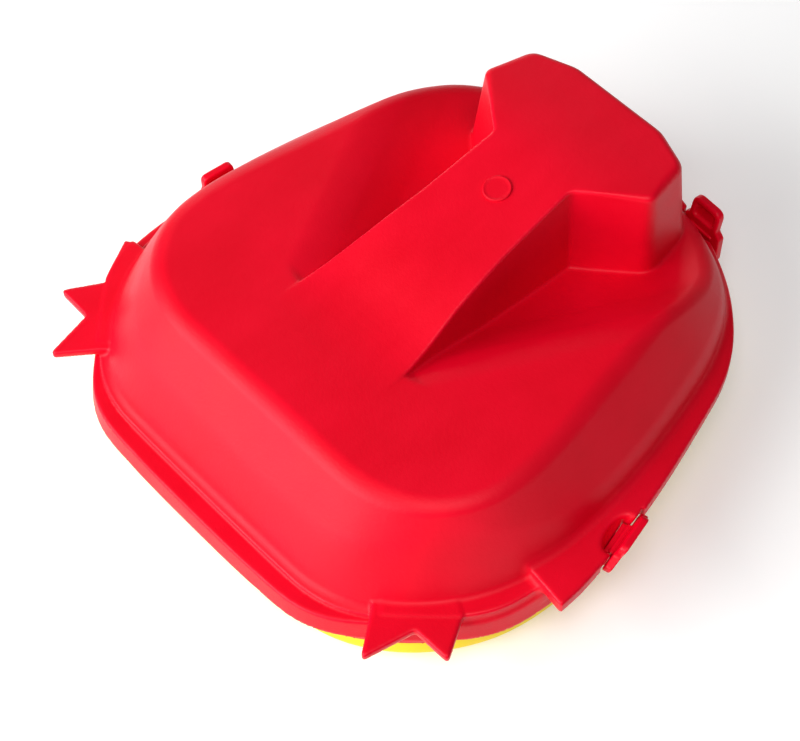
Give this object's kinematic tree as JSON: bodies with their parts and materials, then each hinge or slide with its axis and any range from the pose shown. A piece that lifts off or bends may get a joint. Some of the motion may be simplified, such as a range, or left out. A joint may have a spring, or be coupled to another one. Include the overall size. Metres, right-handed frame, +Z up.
{
  "type": "sharps container",
  "caption": "Compact low sharps container: shallow yellow tub under a red moulded lid with a T-shaped grip, finger pockets, star tabs and spring latches.",
  "frame": {"origin": "on the resting face, on the container's left-right centre plane, 10.5 mm in front of the middle of its front-to-back extent", "axes": "+Z up, +Y towards the back where the grip's head is, +X towards the container's right-hand side as seen from the front"},
  "size_m": [0.1446, 0.144, 0.0542],
  "materials": {
    "tub": "satin moulded polypropylene",
    "lid": "satin moulded polypropylene with a fine grain",
    "latch": "satin moulded polypropylene"
  },
  "bodies": {
    "base": {"base_tub": "tub"},
    "lid": {"lid_shell": "lid"},
    "clip_right": {"latch_right": "latch"},
    "clip_left": {"latch_left": "latch"},
    "clip_back_right": {"latch_back_right": "latch"},
    "clip_back_left": {"latch_back_left": "latch"}
  },
  "joints": [
    {"name": "lid_lift", "type": "slide", "parent": "base", "child": "lid", "axis": [0, 0, 1], "range_m": [0, 0.045]},
    {"name": "latch_right_flex", "type": "hinge", "parent": "lid", "child": "clip_right", "pos_m": [0.07138, 0.00247, 0.0202], "axis": [0.2402, -0.9707, 0], "range_deg": [0, 8], "stiffness_Nm_per_rad": 0.01},
    {"name": "latch_left_flex", "type": "hinge", "parent": "lid", "child": "clip_left", "pos_m": [-0.06765, 0.00411, 0.0166], "axis": [0.0896, 0.996, 0], "range_deg": [0, 8], "stiffness_Nm_per_rad": 0.01},
    {"name": "latch_back_right_flex", "type": "hinge", "parent": "lid", "child": "clip_back_right", "pos_m": [0.02394, 0.07945, 0.0202], "axis": [0.9982, -0.0599, 0], "range_deg": [0, 8], "stiffness_Nm_per_rad": 0.01},
    {"name": "latch_back_left_flex", "type": "hinge", "parent": "lid", "child": "clip_back_left", "pos_m": [-0.02394, 0.07945, 0.0202], "axis": [0.9982, 0.0599, 0], "range_deg": [0, 8], "stiffness_Nm_per_rad": 0.01}
  ]
}
